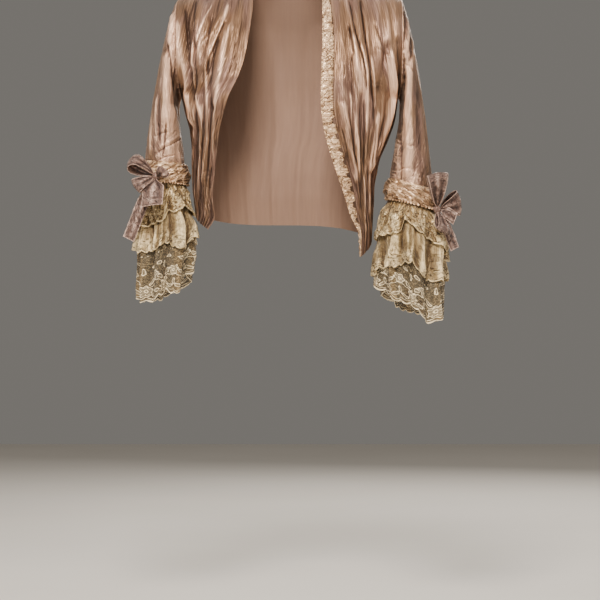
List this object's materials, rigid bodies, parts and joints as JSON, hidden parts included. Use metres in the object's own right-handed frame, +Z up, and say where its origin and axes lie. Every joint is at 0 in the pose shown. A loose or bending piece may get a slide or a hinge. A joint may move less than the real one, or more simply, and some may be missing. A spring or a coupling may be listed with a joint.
{
  "type": "bodice jacket",
  "caption": "Short historic bodice jacket, worn open, with pleated fronts, elbow sleeves, lace flounces and ribbon bows at the elbows.",
  "frame": {"origin": "midway between the two shoulder seams, at the height that the wearer's shoulders and neck carry the jacket", "axes": "+Z up, the front faces -Y, +X towards the wearer's left"},
  "size_m": [0.5876, 0.231, 0.6093],
  "materials": {
    "rose_silk": "crinkled silk satin with a soft sheen",
    "shirred_silk": "shirred gold-rose silk, finely puckered",
    "ecru_lace": "sheer net lace with embroidered leaves and scalloped hems",
    "mauve_ribbon": "dusty mauve crumpled ribbon"
  },
  "bodies": {
    "root": {"back": "rose_silk", "front_right": "rose_silk", "front_left": "rose_silk", "front_band": "shirred_silk", "sleeve_right": "rose_silk", "sleeve_left": "rose_silk", "cuff_band_right": "shirred_silk", "cuff_band_left": "shirred_silk", "flounce_upper_right": "ecru_lace", "flounce_upper_left": "ecru_lace", "flounce_middle_right": "ecru_lace", "flounce_middle_left": "ecru_lace", "flounce_lower_right": "ecru_lace", "flounce_lower_left": "ecru_lace", "bow_knot_right": "mauve_ribbon", "bow_knot_left": "mauve_ribbon", "bow_upper_loop_right": "mauve_ribbon", "bow_upper_loop_left": "mauve_ribbon", "bow_inner_loop_right": "mauve_ribbon", "bow_outer_loop_left": "mauve_ribbon", "bow_lower_loop_right": "mauve_ribbon", "bow_lower_loop_left": "mauve_ribbon", "bow_broad_tail_right": "mauve_ribbon", "bow_broad_tail_left": "mauve_ribbon", "bow_long_tail_right": "mauve_ribbon", "bow_long_tail_left": "mauve_ribbon"}
  },
  "joints": []
}
